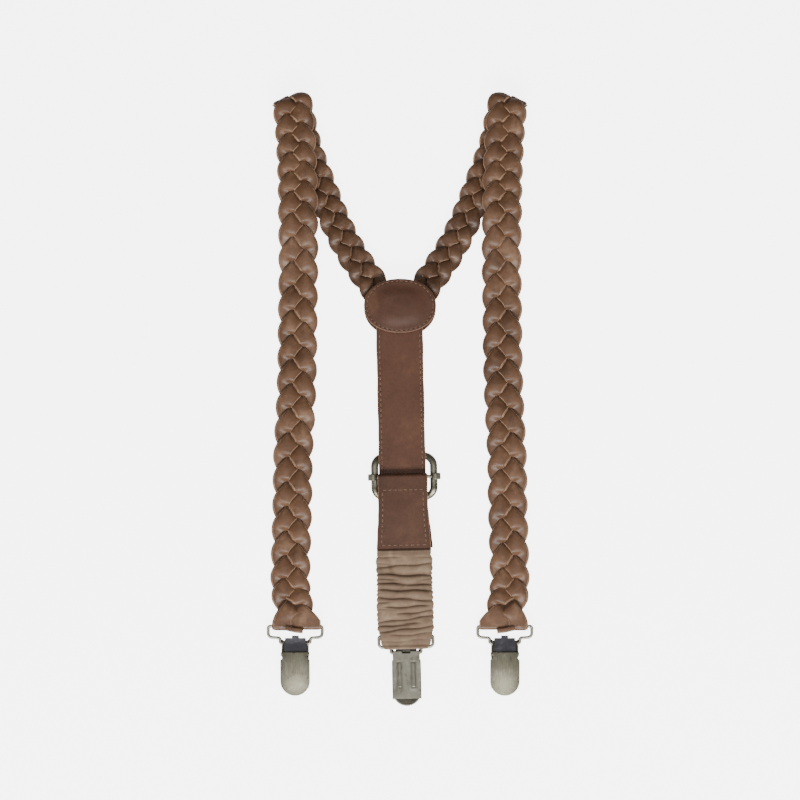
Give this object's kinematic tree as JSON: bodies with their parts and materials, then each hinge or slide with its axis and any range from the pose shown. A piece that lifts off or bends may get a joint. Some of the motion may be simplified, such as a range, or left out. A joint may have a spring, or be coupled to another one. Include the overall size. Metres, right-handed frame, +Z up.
{
  "type": "suspenders",
  "caption": "Y-back suspenders: braided leather straps over the shoulders meet at an oval yoke, then a sliding adjuster, gathered elastic and flip clips on wire loops.",
  "frame": {"origin": "centre of the whole object's box, on the plane it lies on", "axes": "+Z up from the table it lies on, +Y from the clips towards the shoulder folds, +X to the wearer's left when the front is seen from above"},
  "size_m": [0.1454, 0.3343, 0.0124],
  "materials": {
    "braid_leather": "soft semi-gloss brown leather with pale cut edges",
    "strap_leather": "matt dark brown leather with fine grain",
    "sleeve_fabric": "gathered woven tan fabric",
    "elastic": "woven rubber elastic",
    "filler_board": "pressed fibre board",
    "antique_brass": "brushed antique brass",
    "dark_steel": "blackened spring steel",
    "grip_pad": "moulded nylon with fine teeth"
  },
  "bodies": {
    "back": {"left_rear_strand_1": "braid_leather", "left_rear_strand_2": "braid_leather", "left_rear_strand_3": "braid_leather", "right_rear_strand_1": "braid_leather", "right_rear_strand_2": "braid_leather", "right_rear_strand_3": "braid_leather", "left_shoulder_bend": "braid_leather", "right_shoulder_bend": "braid_leather", "yoke_rear_disc": "strap_leather", "yoke_filler": "filler_board", "yoke_front_disc": "strap_leather", "back_strap_rear_layer": "strap_leather", "back_strap_front_layer": "strap_leather"},
    "left_front": {"left_front_strand_1": "braid_leather", "left_front_strand_2": "braid_leather", "left_front_strand_3": "braid_leather", "left_end_loops": "braid_leather"},
    "right_front": {"right_front_strand_1": "braid_leather", "right_front_strand_2": "braid_leather", "right_front_strand_3": "braid_leather", "right_end_loops": "braid_leather"},
    "adjuster": {"adjuster_frame": "antique_brass"},
    "bar": {"adjuster_bar": "antique_brass"},
    "tab": {"adjuster_tab": "strap_leather", "elastic_core": "elastic", "gathered_sleeve": "sleeve_fabric"},
    "elastic_end": {"elastic_end_fold": "sleeve_fabric"},
    "left_loop": {"left_wire_loop": "antique_brass"},
    "left_clip": {"left_base_plate": "antique_brass", "left_base_pad": "grip_pad", "left_lever_pin": "antique_brass"},
    "left_lever": {"left_lever": "antique_brass"},
    "left_jaw": {"left_jaw": "dark_steel", "left_jaw_pad": "grip_pad"},
    "right_loop": {"right_wire_loop": "antique_brass"},
    "right_clip": {"right_base_plate": "antique_brass", "right_base_pad": "grip_pad", "right_lever_pin": "antique_brass"},
    "right_lever": {"right_lever": "antique_brass"},
    "right_jaw": {"right_jaw": "dark_steel", "right_jaw_pad": "grip_pad"},
    "rear_loop": {"rear_wire_loop": "antique_brass"},
    "rear_clip": {"rear_base_plate": "antique_brass", "rear_base_pad": "grip_pad", "rear_lever_pin": "antique_brass"},
    "rear_lever": {"rear_lever": "antique_brass"},
    "rear_jaw": {"rear_jaw": "dark_steel", "rear_jaw_pad": "grip_pad"}
  },
  "joints": [
    {"name": "left_shoulder_fold", "type": "hinge", "parent": "back", "child": "left_front", "pos_m": [-0.05954, 0.16538, 0.00635], "axis": [-0.9781, -0.2079, 0], "range_deg": [0, 170], "deforming": ["left_shoulder_bend"]},
    {"name": "right_shoulder_fold", "type": "hinge", "parent": "back", "child": "right_front", "pos_m": [0.05954, 0.16538, 0.00635], "axis": [-0.9781, 0.2079, 0], "range_deg": [0, 170], "deforming": ["right_shoulder_bend"]},
    {"name": "adjuster_slide", "type": "slide", "parent": "back", "child": "adjuster", "axis": [-0.0209, 0.9998, 0], "range_m": [-0.035, 0.03]},
    {"name": "bar_slide", "type": "slide", "parent": "adjuster", "child": "bar", "axis": [-0.0209, 0.9998, 0], "range_m": [-0.004, 0.004]},
    {"name": "tab_swing", "type": "hinge", "parent": "bar", "child": "tab", "pos_m": [0.00135, -0.04238, 0.00602], "axis": [-0.9998, -0.0209, 0], "range_deg": [0, 100]},
    {"name": "elastic_stretch", "type": "slide", "parent": "tab", "child": "elastic_end", "axis": [0.0209, -0.9998, 0], "range_m": [0, 0.04], "stiffness_N_per_m": 60, "deforming": ["elastic_core", "gathered_sleeve"]},
    {"name": "left_loop_swing", "type": "hinge", "parent": "left_front", "child": "left_loop", "pos_m": [-0.0572, -0.124, 0.003], "axis": [-1, 0, 0], "range_deg": [-75, 60]},
    {"name": "left_clip_swing", "type": "hinge", "parent": "left_loop", "child": "left_clip", "pos_m": [-0.0572, -0.1332, 0.003], "axis": [-1, 0, 0], "range_deg": [-60, 30]},
    {"name": "left_lever_lift", "type": "hinge", "parent": "left_clip", "child": "left_lever", "pos_m": [-0.0572, -0.1391, 0.0046], "axis": [-1, 0, 0], "range_deg": [0, 95]},
    {"name": "left_jaw_open", "type": "hinge", "parent": "left_clip", "child": "left_jaw", "pos_m": [-0.0572, -0.1321, 0.0009], "axis": [-1, 0, 0], "range_deg": [0, 6]},
    {"name": "right_loop_swing", "type": "hinge", "parent": "right_front", "child": "right_loop", "pos_m": [0.0572, -0.124, 0.003], "axis": [-1, 0, 0], "range_deg": [-75, 60]},
    {"name": "right_clip_swing", "type": "hinge", "parent": "right_loop", "child": "right_clip", "pos_m": [0.0572, -0.1332, 0.003], "axis": [-1, 0, 0], "range_deg": [-60, 30]},
    {"name": "right_lever_lift", "type": "hinge", "parent": "right_clip", "child": "right_lever", "pos_m": [0.0572, -0.1391, 0.0046], "axis": [-1, 0, 0], "range_deg": [0, 95]},
    {"name": "right_jaw_open", "type": "hinge", "parent": "right_clip", "child": "right_jaw", "pos_m": [0.0572, -0.1321, 0.0009], "axis": [-1, 0, 0], "range_deg": [0, 6]},
    {"name": "rear_loop_swing", "type": "hinge", "parent": "elastic_end", "child": "rear_loop", "pos_m": [0.00317, -0.12906, 0.0058], "axis": [-0.9998, -0.0209, 0], "range_deg": [-75, 15]},
    {"name": "rear_clip_swing", "type": "hinge", "parent": "rear_loop", "child": "rear_clip", "pos_m": [0.00336, -0.13826, 0.0058], "axis": [-0.9998, -0.0209, 0], "range_deg": [-30, 60]},
    {"name": "rear_lever_lift", "type": "hinge", "parent": "rear_clip", "child": "rear_lever", "pos_m": [0.00348, -0.14416, 0.0042], "axis": [0.9998, 0.0209, 0], "range_deg": [0, 95]},
    {"name": "rear_jaw_open", "type": "hinge", "parent": "rear_clip", "child": "rear_jaw", "pos_m": [0.00334, -0.13716, 0.0079], "axis": [0.9998, 0.0209, 0], "range_deg": [0, 6]}
  ],
  "couplings": [
    {"joint": "left_jaw_open", "follows": "left_lever_lift", "ratio": 0.0632},
    {"joint": "right_jaw_open", "follows": "right_lever_lift", "ratio": 0.0632},
    {"joint": "rear_jaw_open", "follows": "rear_lever_lift", "ratio": 0.0632}
  ]
}
